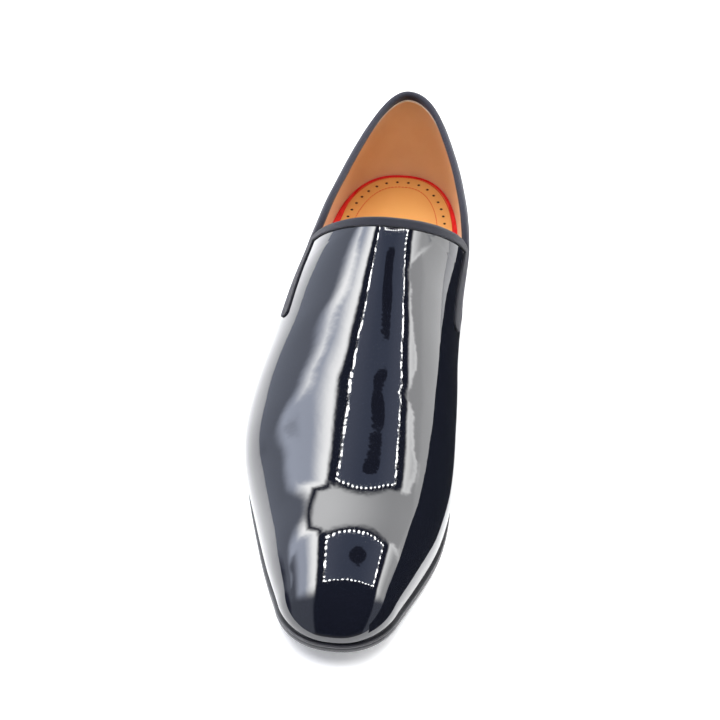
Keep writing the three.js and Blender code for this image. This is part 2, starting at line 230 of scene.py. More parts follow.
def sole_underside(along):
    """Level at the heel, arched at the waist, level under the ball and sprung at the toe."""
    u = np.clip((along - HEEL_LENGTH) / (TREAD_BACK * LENGTH - HEEL_LENGTH), 0, 1)
    arch = HEEL_HEIGHT * (1 - u ** 3 * (10 - 15 * u + 6 * u * u))
    spring = np.maximum((along / LENGTH - TREAD_FRONT) / (1 - TREAD_FRONT), 0)
    return arch + TOE_SPRING * spring ** SPRING_POWER


def sole_top(along):
    return sole_underside(along) + SOLE_THICKNESS


def round_end(distance, radius, power):
    x = np.clip(1 - distance / radius, 0, 1)
    return (1 - x ** power) ** (1 / power)


def tip_along(inset):
    return LENGTH - SOLE_PROUD - inset


def toe_share(us):
    """0 behind the tread's front edge, 1 at the toe's tip."""
    tread = TREAD_FRONT * LENGTH
    return np.clip((us + HEEL_ROUND - tread) / (U_TIP + HEEL_ROUND - tread), 0, 1)


def wall_at(along, side, t, inset):
    """Lean, half width and height of one wall at a share t of the way from the sole to the ridge."""
    at = along / LENGTH
    distance = np.maximum(tip_along(inset) - along, 0)
    close = round_end(distance, TOE_ROUND, TOE_POWER)
    lateral = SHARES["lateral"](at) * BALL_WIDTH - inset
    medial = SHARES["medial"](at) * BALL_WIDTH - inset
    width = (lateral if side < 0 else medial) * close
    ridge = (lateral + medial) / 2 * close
    bulge = SHARES["bulge_l" if side < 0 else "bulge_m"](at) * BALL_WIDTH * close
    run = SHARES["run_l" if side < 0 else "run_m"](at)
    floor = sole_top(along) + CLEARANCE
    nose = round_end(distance, NOSE_ROUND, NOSE_POWER)
    height = (SHARES["top"](at) * INSTEP_HEIGHT - inset - floor) * nose
    c0 = (1 - t) ** 3
    c1 = 3 * (1 - t) ** 2 * t
    c2 = 3 * (1 - t) * t * t
    c3 = t ** 3
    lean = SHARES["lean"](at) * BALL_WIDTH * close * (c2 + c3)
    half = width * (c0 + c1) + ridge * c2 * run + bulge * c1
    up = floor + height * (c1 * SHARES["rise"](at) + c2 + c3)
    return lean, half, up


def proud_at(along):
    heel = PROUD_HEEL_SHARE * (1 - smooth(along, 0, HEEL_ROUND))
    return SOLE_PROUD * (heel + smooth(along / LENGTH, PROUD_BEGINS, PROUD_FULL))


def surface(side, u, t, inset=0.0):
    """A point of the last. U runs forward: from -HEEL_ROUND at the back of the heel, through 0 where
    the heel's rounding begins, to the toe. Returns an array of x, y, z."""
    u, t, inset = np.broadcast_arrays(*[np.asarray(v, float) for v in (u, t, inset)])
    turn = np.clip(-u / HEEL_ROUND, 0, 1) * RIGHT_ANGLE
    rise = t / COLLAR_SHARE
    power = HEEL_POWER_LOW + (HEEL_POWER_HIGH - HEEL_POWER_LOW) * np.clip(rise, 0, 1)
    across = np.clip(np.cos(turn), 0, 1)
    behind = np.sin(turn)
    across = np.where(turn >= RIGHT_ANGLE - 1e-9, 0.0, across)
    scale = (across ** power + behind ** power) ** (-1 / power)
    back = proud_at(0.0) + inset + HEEL_TUCK * rise * rise - 4 * HEEL_BOW * rise * (1 - rise)
    along = np.where(u < 0, HEEL_ROUND - (HEEL_ROUND - back) * behind * scale, HEEL_ROUND + u)
    narrow = np.where(u < 0, across * scale, 1.0)
    lean, half, up = wall_at(along, side, t, inset)
    return np.stack([lean + side * half * narrow, HEEL_LENGTH / 2 - along, up], axis=-1)


def along_of(points):
    return HEEL_LENGTH / 2 - points[..., 1]


def run_of(points):
    """How far along a line each of its points lies."""
    return np.concatenate([[0], np.cumsum(np.linalg.norm(np.diff(points, axis=0), axis=1))])


def unit(vectors):
    return vectors / np.maximum(np.linalg.norm(vectors, axis=-1, keepdims=True), 1e-12)


U_BACK = -HEEL_ROUND
U_TIP = tip_along(0.0) - HEEL_ROUND
PROBE = 0.02


def tangents(side, u, t):
    """How the surface runs with u and with t, per millimetre of u and per unit of t."""
    u0 = np.maximum(u - PROBE, U_BACK)
    u1 = np.minimum(u + PROBE, U_TIP)
    t0 = np.maximum(t - PROBE / 10, 0)
    t1 = np.minimum(t + PROBE / 10, 1)
    with_u = (surface(side, u1, t) - surface(side, u0, t)) / (u1 - u0)[..., None]
    with_t = (surface(side, u, t1) - surface(side, u, t0)) / (t1 - t0)[..., None]
    return with_u, with_t


def outward(side, u, t):
    with_u, with_t = tangents(side, u, t)
    return unit(-side * np.cross(with_u, with_t))


def edge_height(along):
    """Height of the opening's edge in the side view."""
    collar = COLLAR_UP(along / LENGTH)
    throat = THROAT_UP(along / LENGTH)
    return np.where(along < NOTCH_ALONG, collar, throat) * INSTEP_HEIGHT


def solve_t(side, u, height_of, inset=0.0):
    """The share t where the wall reaches the height that height_of gives for its along."""
    low = np.zeros_like(u)
    high = np.ones_like(u)
    for _ in range(44):
        middle = (low + high) / 2
        points = surface(side, u, middle, inset)
        above = points[..., 2] > height_of(along_of(points))
        high = np.where(above, middle, high)
        low = np.where(above, low, middle)
    return (low + high) / 2


def throat_centre():
    """The u where the throat's edge crosses the ridge."""
    low = NOTCH_ALONG
    high = THROAT_ROWS[-1][0] * LENGTH
    for _ in range(44):
        middle = (low + high) / 2
        ridge = wall_at(np.array(middle), MEDIAL, np.array(1.0), 0.0)[2]
        if ridge > edge_height(np.array(middle)):
            low = middle
        else:
            high = middle
    return middle - HEEL_ROUND


U_NOTCH = NOTCH_ALONG - HEEL_ROUND
U_THROAT = throat_centre()


def stations(heel, quarter, throat, vamp, toe):
    """Values of u from the back of the heel to the toe's tip, with the given counts of steps."""
    turn = U_BACK * (1 - np.linspace(0, 1, heel + 1)[:-1])
    side = np.linspace(0, U_NOTCH, quarter + 1)[:-1]
    front = np.linspace(U_NOTCH, U_THROAT, throat + 1)[:-1]
    nose = U_TIP - TOE_ROUND
    body = np.linspace(U_THROAT, nose, vamp + 1)[:-1]
    tip = U_TIP - TOE_ROUND * (1 - np.sin(np.linspace(0, RIGHT_ANGLE, toe + 1)))
    return np.concatenate([turn, side, front, body, tip]), heel + quarter + throat


# Meshes

def linked(name, data):
    """A new object in the scene that carries the data."""
    obj = bpy.data.objects.new(name, data)
    bpy.context.scene.collection.objects.link(obj)
    return obj


def mesh_object(name, points, faces, uvs=None):
    """An object from points in millimetres. Uvs, where given, are one pair for each point."""
    mesh = bpy.data.meshes.new(name)
    mesh.from_pydata((np.asarray(points) * MM).tolist(), [], faces)
    if uvs is not None:
        layer = mesh.uv_layers.new(name="along_across")
        corner = np.zeros(len(mesh.loops), int)
        mesh.loops.foreach_get("vertex_index", corner)
        layer.data.foreach_set("uv", np.asarray(uvs)[corner].astype(float).ravel())
    mesh.polygons.foreach_set("use_smooth", [True] * len(mesh.polygons))
    mesh.update()
    return linked(name, mesh)


def quads(grid, flip=False):
    """Faces of a grid of vertex numbers; those that shrink to a line are left out."""
    a, b, c, d = grid[:-1, :-1], grid[:-1, 1:], grid[1:, 1:], grid[1:, :-1]
    corners = np.stack([a, b, c, d], axis=-1).reshape(-1, 4)
    if flip:
        corners = corners[:, ::-1]
    faces = []
    for face in corners.tolist():
        kept = [v for k, v in enumerate(face) if v != face[k - 1]]
        if len(set(kept)) > 2:
            faces.append(kept)
    return faces


def ring_numbers(count, size):
    """Vertex numbers of count rings of size points, each ring's first point again at its end."""
    numbers = np.arange(count * size).reshape(count, size)
    return np.concatenate([numbers, numbers[:, :1]], axis=1)


def weld(points, faces, distance=1e-4):
    """Joins points that coincide, and drops the faces that this closes."""
    keys = np.round(np.asarray(points) / distance).astype(np.int64)
    _, first, inverse = np.unique(keys, axis=0, return_index=True, return_inverse=True)
    inverse = inverse.reshape(-1)
    kept_faces = []
    for face in faces:
        ring = [int(inverse[v]) for v in face]
        ring = [v for k, v in enumerate(ring) if v != ring[k - 1]]
        if len(set(ring)) > 2:
            kept_faces.append(ring)
    return np.asarray(points)[first], kept_faces


def two_sided_grid(us, levels, throat_index, point_at):
    """Vertex numbers and points of both sides from the heel's back to the toe. The sides share their
    points up the back of the heel, along the ridge ahead of the throat, and at the toe's tip."""
    count = len(us)
    rows = len(levels)
    sides = {}
    points = []
    for side in SIDES:
        grid = np.arange(count * rows).reshape(count, rows) + len(points) * count * rows
        sides[side] = grid
        points.append(point_at(side))
    grid = sides[MEDIAL]
    grid[0, :] = sides[LATERAL][0, :]
    grid[throat_index:, -1] = sides[LATERAL][throat_index:, -1]
    for side_grid in sides.values():
        side_grid[-1, :] = sides[LATERAL][-1, 0]
    return sides, np.concatenate([p.reshape(-1, 3) for p in points])


def opening_ts(side, us):
    edge = solve_t(side, us, edge_height)
    return np.where(us >= U_THROAT - 1e-9, 1.0, edge)


def crease_heights(points, t):
    """How far the creases lift the skin. They die out towards the sole."""
    total = np.zeros(points.shape[:-1])
    for row in CREASES:
        crease = dict(zip(CREASE_COLUMNS, row))
        ahead = along_of(points) - crease["along"]
        across = points[..., 0] - crease["aside"]
        angle = math.radians(crease["turn"])
        forward = ahead * math.cos(angle) + across * math.sin(angle)
        sideways = across * math.cos(angle) - ahead * math.sin(angle)
        fade = np.exp(-(forward / crease["reach"]) ** 2 - (sideways / crease["spread"]) ** 2)
        total += crease["height"] * fade
    return total * smooth(t, 0.08, 0.3)


def creased_surface(side, u, t):
    points = surface(side, u, t)
    return points + outward(side, u, t) * crease_heights(points, t)[..., None]


def shell(name, counts, rows, outer_inset, inner_inset, creased=False):
    """The last's wall between two insets, cut at the opening, open underneath, as one closed mesh."""
    us, throat_index = stations(*counts)
    levels = np.linspace(0, 1, rows)
    all_points = []
    all_faces = []
    skins = []
    for inset in (outer_inset, inner_inset):
        tip_shift = inset * toe_share(us)

        def point_at(side, inset=inset, tip_shift=tip_shift):
            edge = opening_ts(side, us)
            t = edge[:, None] * levels[None, :]
            u = np.broadcast_to((us - tip_shift)[:, None], t.shape)
            if creased and inset == outer_inset:
                return creased_surface(side, u, t)
            return surface(side, u, t, inset)

        sides, points = two_sided_grid(us, levels, throat_index, point_at)
        start = sum(len(p) for p in all_points)
        skins.append({side: grid + start for side, grid in sides.items()})
        all_points.append(points)
    outer, inner = skins
    for side in SIDES:
        all_faces += quads(outer[side], flip=side < 0)
        all_faces += quads(inner[side], flip=side > 0)
        foot = np.stack([outer[side][:, 0], inner[side][:, 0]], axis=1)
        all_faces += quads(foot, flip=side > 0)
        rim = np.stack([outer[side][:throat_index + 1, -1], inner[side][:throat_index + 1, -1]], axis=1)
        all_faces += quads(rim, flip=side < 0)
    points, faces = weld(np.concatenate(all_points), all_faces)
    return mesh_object(name, points, faces)


# Materials

def material(name, color, roughness, **sockets):
    """A material whose main sockets are set on the shader itself. Returns it with its tree's parts."""
    made = bpy.data.materials.new(name)
    made.use_nodes = True
    tree = made.node_tree
    shader = tree.nodes["Principled BSDF"]
    shader.inputs["Base Color"].default_value = (*color, 1)
    shader.inputs["Roughness"].default_value = roughness
    for key, value in sockets.items():
        shader.inputs[key.replace("_", " ")].default_value = value
    return made, tree, shader


def put(tree, value, socket):
    """Links a value that is a socket itself, and sets any other."""
    if isinstance(value, bpy.types.NodeSocket):
        tree.links.new(value, socket)
    else:
        socket.default_value = value


def node(tree, kind, inputs=None, **settings):
    made = tree.nodes.new(kind)
    for key, value in settings.items():
        setattr(made, key, value)
    for key, value in (inputs or {}).items():
        put(tree, value, made.inputs[key])
    return made


def noise(tree, scale, detail=3.0, vector=None):
    """Noise over the object's own place, with scale in waves per metre."""
    if vector is None:
        vector = node(tree, "ShaderNodeTexCoord").outputs["Object"]
    inputs = {"Vector": vector, "Scale": scale, "Detail": detail, "Roughness": 0.5}
    return node(tree, "ShaderNodeTexNoise", inputs).outputs["Fac"]


def tint(tree, shader, value, stops):
    """Colours the shader by value, through a colour ramp with stops of (place, colour)."""
    made = node(tree, "ShaderNodeValToRGB", {"Fac": value})
    elements = made.color_ramp.elements
    while len(elements) < len(stops):
        elements.new(0.5)
    for element, (place, color) in zip(elements, stops):
        element.position = place
        element.color = (*color, 1)
    tree.links.new(made.outputs["Color"], shader.inputs["Base Color"])


def bump(tree, shader, height, distance, socket="Normal"):
    made = node(tree, "ShaderNodeBump", {"Height": height, "Distance": distance, "Strength": 1.0})
    tree.links.new(made.outputs["Normal"], shader.inputs[socket])
    return made


def patent_leather():
    """Deep black under a clear coat, with broad soft ripples and faint fine ones."""
    made, tree, shader = material("patent_leather", (0.0045, 0.0055, 0.0095), 0.05, Coat_Weight=1.0,
                                  Coat_Roughness=0.012, Coat_IOR=1.55, IOR=1.5)
    soft = noise(tree, 55, detail=1.0)
    fine = noise(tree, 330, detail=1.0)
    fine_share = 0.12
    height = node(tree, "ShaderNodeMath", {0: fine, 1: fine_share, 2: soft}, operation="MULTIPLY_ADD")
    made_bump = bump(tree, shader, height.outputs["Value"], 0.00012, socket="Coat Normal")
    tree.links.new(made_bump.outputs["Normal"], shader.inputs["Normal"])
    return made


def ribbed_ribbon(name, dark, light):
    made, tree, shader = material(name, light, 0.8, Sheen_Weight=0.2, Sheen_Roughness=0.4)
    coordinates = node(tree, "ShaderNodeUVMap", uv_map="along_across").outputs["UV"]
    wave = node(tree, "ShaderNodeTexWave", {"Vector": coordinates, "Scale": 0.62, "Distortion": 0.0},
                wave_type="BANDS", bands_direction="DIAGONAL")
    # Painted shade and painted highlight: the grooves between the ribs are tinted darker and the crests
    # lighter, in step with the bump.
    tint(tree, shader, wave.outputs["Fac"], [(0.0, dark), (1.0, light)])
    bump(tree, shader, wave.outputs["Fac"], 0.00015)
    return made


def mottled(name, color, roughness, cloud, stops, grain=None):
    """A soft change of tint, and a fine grain where given. Cloud is (scale, detail), and grain is
    (scale, detail, height)."""
    made, tree, shader = material(name, color, roughness)
    tint(tree, shader, noise(tree, *cloud), stops)
    if grain:
        scale, detail, height = grain
        bump(tree, shader, noise(tree, scale, detail), height)
    return made


def lining_leather():
    stops = [(0.25, (0.79, 0.57, 0.39)), (0.75, (0.92, 0.74, 0.55))]
    return mottled("lining_leather", (0.86, 0.66, 0.47), 0.55, (28, 4.0), stops, (900, 5.0, 0.00012))


def sock_leather():
    stops = [(0.3, (0.89, 0.45, 0.13)), (0.7, (0.96, 0.55, 0.19))]
    return mottled("sock_leather", (0.93, 0.50, 0.15), 0.42, (22, 3.0), stops, (1100, 4.0, 0.00006))


def red_edge():
    stops = [(0.3, (0.74, 0.008, 0.012)), (0.7, (0.92, 0.02, 0.028))]
    return mottled("red_edge", (0.85, 0.015, 0.02), 0.5, (160, 3.0), stops)


def red_thread():
    made, tree, shader = material("red_thread", (0.8, 0.06, 0.03), 0.6)
    bump(tree, shader, noise(tree, 2500), 0.00004)
    return made


def waxed_black(name, roughness, streak):
    """Black, with fine streaks that run level."""
    made, tree, shader = material(name, (0.02, 0.02, 0.024), roughness, Coat_Weight=0.35,
                                  Coat_Roughness=0.25)
    place = node(tree, "ShaderNodeTexCoord").outputs["Object"]
    stretched = node(tree, "ShaderNodeMapping", {"Vector": place, "Scale": (60, 60, streak)})
    streaks = noise(tree, 1.0, detail=4.0, vector=stretched.outputs["Vector"])
    tint(tree, shader, streaks, [(0.3, (0.012, 0.012, 0.015)), (0.7, (0.03, 0.03, 0.036))])
    bump(tree, shader, streaks, 0.0001)
    return made


def finish_piece(obj, node_name, look):
    """Gives a piece its look and its body, and hides the imported part that it stands for, where one is
    named.
    """
    obj.data.materials.append(look)
    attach(obj, "root")
    if node_name:
        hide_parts(node_name)


# Pieces

def upper_skin():
    obj = shell("upper_skin", SKIN_STEPS, SKIN_ROWS, 0.0, PATENT_THICKNESS, creased=True)
    finish_piece(obj, "upper", patent_leather())


def upper_lining():
    obj = shell("upper_lining", LINING_STEPS, LINING_ROWS, PATENT_THICKNESS + 0.02, WALL)
    finish_piece(obj, None, lining_leather())


def edge_point(side, u, into, out_for):
    """A point at the foot of the wall, moved inwards by into and outwards by what out_for says."""
    along = along_of(surface(side, u, np.zeros_like(u)))
    return surface(side, u, np.zeros_like(u), into - out_for(along))


def ring_loft(name, rings):
    """A mesh through closed rings of points, an array of rings by points by 3. Its ends close."""
    points, faces = weld(rings.reshape(-1, 3), quads(ring_numbers(*rings.shape[:2])))
    return mesh_object(name, points, faces)


def plate(name, counts, out_for, levels):
    """A plate that follows the sole's outline. Levels are (into, up of along), from the underside's
    corner round to the top's."""
    us, _ = stations(*counts)
    reach = toe_share(us)
    columns = {LATERAL: [], MEDIAL: []}
    for side in SIDES:
        for into, up in levels:
            shift = (into - out_for(LENGTH)) * reach
            points = edge_point(side, us - shift, into, out_for)
            points[:, 2] = up(along_of(points))
            columns[side].append(points)
    ring = columns[LATERAL] + columns[MEDIAL][::-1]
    return ring_loft(name, np.stack(ring, axis=1)[::-1])


def corner_levels(radius, top_radius, low, high, steps=4):
    """Levels of a plate's edge with round corners below and above."""
    angles = [k / steps * RIGHT_ANGLE for k in range(steps + 1)]
    levels = []
    for angle in angles:
        lift = radius * (1 - math.cos(angle))
        levels.append((radius * (1 - math.sin(angle)), lambda along, lift=lift: low(along) + lift))
    for angle in angles:
        drop = top_radius * (1 - math.sin(angle))
        levels.append((top_radius * (1 - math.cos(angle)), lambda along, drop=drop: high(along) - drop))
    return levels


def outsole():
    """The sole, with a shallow groove round its edge."""
    levels = corner_levels(0.8, 0.5, sole_underside, sole_top)
    deep = 0.25
    groove = [(0.0, -1.5), (deep, -1.3), (deep, -1.15), (0.0, -0.95)]
    middle = len(levels) // 2
    for into, drop in reversed(groove):
        levels.insert(middle, (into, lambda along, drop=drop: sole_top(along) + drop))
    obj = plate("outsole_edge", SOLE_STEPS, proud_at, levels)
    finish_piece(obj, "outsole", waxed_black("waxed_sole", 0.38, 900))


def insole_foot(along):
    return sole_top(along) + CLEARANCE


def sock_top(along):
    return insole_foot(along) + INSOLE_THICKNESS


def behind_edge(along):
    return np.zeros_like(along) - SOCK_EDGE


def sock():
    levels = corner_levels(0.6, 0.6, insole_foot, sock_top)
    obj = plate("sock_pad", SOCK_STEPS, behind_edge, levels)
    finish_piece(obj, "insole", sock_leather())


def along_run(points, spacing):
    """The same line with its points an even distance apart."""
    run = run_of(points)
    even = np.linspace(0, run[-1], int(round(run[-1] / spacing)) + 1)
    return np.stack([np.interp(even, run, points[:, k]) for k in range(3)], axis=1)


def sock_line(into, front, lift):
    """A line on the sock, from its front on the lateral side round the back of the heel to the medial
    side, into millimetres inside the sock's edge."""
    us = np.concatenate([np.linspace(front - HEEL_ROUND, 0, 200)[:-1], np.linspace(0, U_BACK, 300)])
    lateral, medial = [surface(side, us, np.zeros_like(us), SOCK_EDGE + into) for side in SIDES]
    line = np.concatenate([lateral, medial[::-1][1:]])
    line[:, 2] = sock_top(along_of(line)) + lift
    return line


def swept(name, rings, flip=False):
    """A mesh through closed rings, with flat ends."""
    grid = ring_numbers(*rings.shape[:2])
    faces = quads(grid, flip)
    faces.append(grid[0, :-1].tolist())
    faces.append(grid[-1, :-1].tolist()[::-1])
    return mesh_object(name, rings.reshape(-1, 3), faces)


def tube_rings(line, ups, radii, sides=6):
    """Rings round a line. Radii is one number for each point."""
    ahead = unit(np.gradient(line, axis=-2))
    across = unit(np.cross(ahead, ups))
    above = np.cross(across, ahead)
    angles = np.arange(sides) / sides * 2 * math.pi
    cosines = np.cos(angles)[:, None]
    sines = np.sin(angles)[:, None]
    spokes = across[..., None, :] * cosines + above[..., None, :] * sines
    return line[..., None, :] + spokes * radii[..., None, None]


def stitch_row(name, line, length, gap, radius):
    """Separate stitches along a line, each a short thread that dips at both ends."""
    spacing = 0.1
    fine = along_run(line, spacing)
    run = np.arange(len(fine)) * spacing
    starts = np.arange(0, run[-1] - length, length + gap)
    share = np.array([0.0, 0.14, 0.5, 0.86, 1.0])
    places = starts[:, None] + share * length
    middles = np.stack([np.interp(places, run, fine[:, k]) for k in range(3)], axis=-1)
    middles[..., 2] += radius * np.array([-0.9, 0.2, 0.6, 0.2, -0.9])
    radii = np.broadcast_to(radius * np.array([0.45, 0.9, 1.0, 0.9, 0.45]), middles.shape[:2])
    rings = tube_rings(middles, np.array([0.0, 0.0, 1.0]), radii)
    numbers = np.arange(rings.shape[0] * rings.shape[1] * rings.shape[2]).reshape(rings.shape[:3])
    faces = []
    for stitch in numbers:
        faces += quads(np.concatenate([stitch, stitch[:, :1]], axis=1))
        faces.append(stitch[0].tolist())
        faces.append(stitch[-1].tolist()[::-1])
    return mesh_object(name, rings.reshape(-1, 3), faces)


def pinholes(name, line, pitch, radius, sides=12):
    """Small dark discs along a line, their darkness the painted shade inside holes."""
    middles = along_run(line, pitch)[1:-1]
    angles = np.arange(sides) / sides * 2 * math.pi
    rim = np.stack([np.cos(angles), np.sin(angles), np.zeros(sides)], axis=-1) * radius
    points = (middles[:, None, :] + rim).reshape(-1, 3)
    faces = np.arange(len(points)).reshape(-1, sides).tolist()
    return mesh_object(name, points, faces)


def sock_border(name):
    """The red edge between the sock and the lining. It is widest at the lateral side of the waist."""
    us = np.concatenate([np.linspace(80 - HEEL_ROUND, 0, 60)[:-1], np.linspace(0, U_BACK, 90)])
    share = np.linspace(0, 1, 6)
    halves = []
    for side, widest in ((LATERAL, 1.7), (MEDIAL, 0.8)):
        foot = surface(side, us, np.zeros_like(us))
        cover = 0.25 + widest * smooth(along_of(foot), 10, 42)
        inner = surface(side, us, np.zeros_like(us), SOCK_EDGE + cover)
        outer = surface(side, us, solve_t(side, us, sock_top, WALL), WALL)
        points = inner[:, None, :] + (outer - inner)[:, None, :] * share[:, None]
        points[..., 2] = sock_top(along_of(points)) + 0.02 + 0.4 * np.sin(share * math.pi)
        low = points[:, [-1, 0]].copy()
        low[..., 2] -= 0.6
        halves.append(np.concatenate([points, low], axis=1))
    return swept(name, np.concatenate([halves[0], halves[1][::-1][1:]]))


def sock_details():
    red = red_thread()
    for row in STITCH_ROWS:
        stitch = dict(zip(STITCH_COLUMNS, row))
        line = sock_line(stitch["into"], stitch["front"], stitch["lift"])
        obj = stitch_row(stitch["name"], line, stitch["length"], stitch["gap"], stitch["radius"])
        finish_piece(obj, None, red)
    holes = pinholes("sock_pinholes", sock_line(**HOLE_LINE), HOLE_PITCH, HOLE_RADIUS)
    # The pinholes are flat discs of painted shade, where real holes would be dark inside.
    finish_piece(holes, None, material("pinhole_shade", (0.03, 0.012, 0.006), 0.9)[0])
    border = sock_border("sock_red_edge")
    finish_piece(border, None, red_edge())


def lining_rim():
    """The pale cut edge of the lining, just under the collar's ribbon."""
    line = []
    ups = []
    for side in SIDES:
        us, ts = collar_path(side)
        us, ts, _ = even_path(side, us, ts, 0.8)
        ahead = unit(np.gradient(surface(side, us, ts), axis=0))
        ahead[0] = unit(ahead[0] * np.array([1.0, 0.0, 0.0]))
        normals = outward(side, us, ts)
        way = unit(np.cross(normals, ahead)) * side
        places, normals = walk(side, us, ts, way, np.linspace(0, RIBBON_INSIDE + RIM_RADIUS, 8))
        middle = places[:, -1] - normals[:, -1] * (WALL + 0.3)
        line.append(middle if side > 0 else middle[::-1][:-1])
        ups.append(normals[:, -1] if side > 0 else normals[:, -1][::-1][:-1])
    line = np.concatenate(line)
    rings = tube_rings(line, np.concatenate(ups), np.full(len(line), RIM_RADIUS))
    cut_edge = material("lining_cut_edge", (0.95, 0.85, 0.70), 0.8)[0]
    finish_piece(swept("lining_rim", rings), None, cut_edge)


def heel_ring(inset, up, heel_steps, breast_steps):
    """The outline of the heel's stack at one height: round the back, then across its hollow front."""
    us = np.concatenate([[HEEL_LENGTH - inset - HEEL_ROUND], np.linspace(0, U_BACK, heel_steps + 1)[1:]])
    us[0] = max(us[0], 0.0)
    lateral, medial = [edge_point(side, us, inset, proud_at) for side in SIDES]
    share = np.linspace(0, 1, breast_steps + 1)[1:-1, None]
    breast = medial[0] + (lateral[0] - medial[0]) * share
    breast[:, 1] += BREAST_HOLLOW * np.sin(share[:, 0] * math.pi)
    ring = np.concatenate([lateral, medial[::-1][1:], breast])
    ring[:, 2] = up
    return ring


def heel_stack(name, low, high, lines, corner):
    """A slice of the heel with a rounded lower edge and shallow lines between its layers."""
    levels = [(low, 4.0), (low, corner), (low + corner * 0.3, corner * 0.3), (low + corner, 0.0)]
    for line in lines:
        levels += [(line - 0.22, 0.0), (line, 0.18), (line + 0.22, 0.0)]
    levels += [(high - 0.15, 0.0), (high, 0.15), (high, 4.0)]
    rings = []
    for up, into in levels:
        share = up / HEEL_HEIGHT
        inset = HEEL_INSET_FLOOR + (HEEL_INSET_TOP - HEEL_INSET_FLOOR) * share
        rings.append(heel_ring(inset + into, up, 44, 24))
    return swept(name, np.stack(rings), flip=True)


def heel():
    """The stack with its two layer lines, and the ground piece under it."""
    base = heel_stack("heel_layers", TOP_LIFT, HEEL_HEIGHT, (9.7, 13.4), 0.15)
    finish_piece(base, "heel_base", waxed_black("waxed_heel", 0.34, 1400))
    lift = heel_stack("heel_rubber_piece", 0.0, TOP_LIFT, (), 0.7)
    finish_piece(lift, "top_lift", waxed_black("matt_rubber", 0.7, 300))


# Ribbons

def walk(side, u, t, way, distances):
    """Steps over the surface from each start along way. Returns the points and normals met at each
    distance, as arrays of starts by distances by 3."""
    points = [surface(side, u, t)]
    normals = [outward(side, u, t)]
    for step in np.diff(distances):
        with_u, with_t = tangents(side, u, t)
        normal = unit(np.cross(with_u, with_t))
        way = unit(way - normal * np.sum(way * normal, axis=-1, keepdims=True))
        uu = np.sum(with_u * with_u, axis=-1)
        ut = np.sum(with_u * with_t, axis=-1)
        tt = np.sum(with_t * with_t, axis=-1)
        wu = np.sum(way * with_u, axis=-1) * step
        wt = np.sum(way * with_t, axis=-1) * step
        det = uu * tt - ut * ut
        u = np.clip(u + (wu * tt - wt * ut) / det, U_BACK, U_TIP)
        t = np.clip(t + (wt * uu - wu * ut) / det, 0, 1)
        points.append(surface(side, u, t))
        normals.append(outward(side, u, t))
    return np.stack(points, axis=1), np.stack(normals, axis=1)


def even_path(side, us, ts, spacing):
    """The path over the surface with its points an even distance apart."""
    run = run_of(surface(side, us, ts))
    count = int(round(run[-1] / spacing)) + 1
    even = np.linspace(0, run[-1], count)
    return np.interp(even, run, us), np.interp(even, run, ts), even


def tail_path(side, count=160):
    """The seam from the notch down to the tails' end, in u and t."""
    share = np.linspace(0, 1, count)
    along = NOTCH_ALONG + (TAIL_END[0] - NOTCH_ALONG) * share
    notch_up = COLLAR_ROWS[-1][1] * INSTEP_HEIGHT
    up = notch_up + (TAIL_END[1] - notch_up) * share
    us = along - HEEL_ROUND

    def seam_height(at):
        return np.interp(at, along, up)

    return us, solve_t(side, us, seam_height)


def collar_path(side):
    us = np.linspace(U_BACK, U_NOTCH, 700)
    return us, solve_t(side, us, edge_height)


def throat_path(side):
    """From the middle of the throat back to the notch."""
    us = U_THROAT + (U_NOTCH - U_THROAT) * (1 - np.cos(np.linspace(0, RIGHT_ANGLE, 500)))
    ts = solve_t(side, us, edge_height)
    ts[0] = 1.0
    return us, ts


def ribbon(name, edge_path, forward, spacing=0.3):
    """A ribbon folded over the edge. It goes from one tail's end over the edge to the other's."""
    halves = []
    reach = np.linspace(0, RIBBON_OUTSIDE, 9)
    for side in SIDES:
        edge_us, edge_ts = edge_path(side)
        edge_run = run_of(surface(side, edge_us, edge_ts))[-1]
        seam_us, seam_ts = tail_path(side)
        us = np.concatenate([edge_us, seam_us[1:]])
        ts = np.concatenate([edge_ts, seam_ts[1:]])
        us, ts, run = even_path(side, us, ts, spacing)
        points = surface(side, us, ts)
        ahead = unit(np.gradient(points, axis=0))
        ahead[0] = unit(ahead[0] * np.array([1.0, 0.0, 0.0]))
        normals = outward(side, us, ts)
        way = unit(np.cross(normals, ahead)) * (-side * forward)
        way = soften(way, run, 2.6)
        places, ups = walk(side, us, ts, way, reach)
        total = run[-1]
        tail = smooth(run, edge_run - 3.2, edge_run - 0.8)
        halves.append({"run": run, "places": places, "ups": ups, "way": way, "tail": tail,
                       "left": total - run})
    lateral, medial = halves
    joined = {key: np.concatenate([lateral[key][::-1], medial[key][1:]]) for key in lateral if key != "run"}
    run = np.concatenate([-lateral["run"][::-1], medial["run"][1:]])
    rows = ribbon_profile()
    grid_points = np.stack([profile_points(joined, row, reach) for row in rows], axis=1)
    across = run_of(np.array([row[0] for row in rows]))
    uvs = np.stack(np.meshgrid(run, across, indexing="ij"), axis=-1)
    grid = ring_numbers(*grid_points.shape[:2])
    faces = quads(grid, flip=forward > 0)
    faces.append(grid[0, :-1].tolist()[::-1 if forward < 0 else 1])
    faces.append(grid[-1, :-1].tolist()[::1 if forward < 0 else -1])
    return mesh_object(name, grid_points.reshape(-1, 3), faces, uvs.reshape(-1, 2))


def soften(way, run, width):
    """Lets a direction turn gradually round a corner of the path."""
    spacing = run[1] - run[0]
    half = int(round(width / spacing))
    kernel = np.ones(2 * half + 1) / (2 * half + 1)
    padded = np.concatenate([np.repeat(way[:1], half, axis=0), way, np.repeat(way[-1:], half, axis=0)])
    return unit(np.stack([np.convolve(padded[:, k], kernel, mode="valid") for k in range(3)], axis=1))


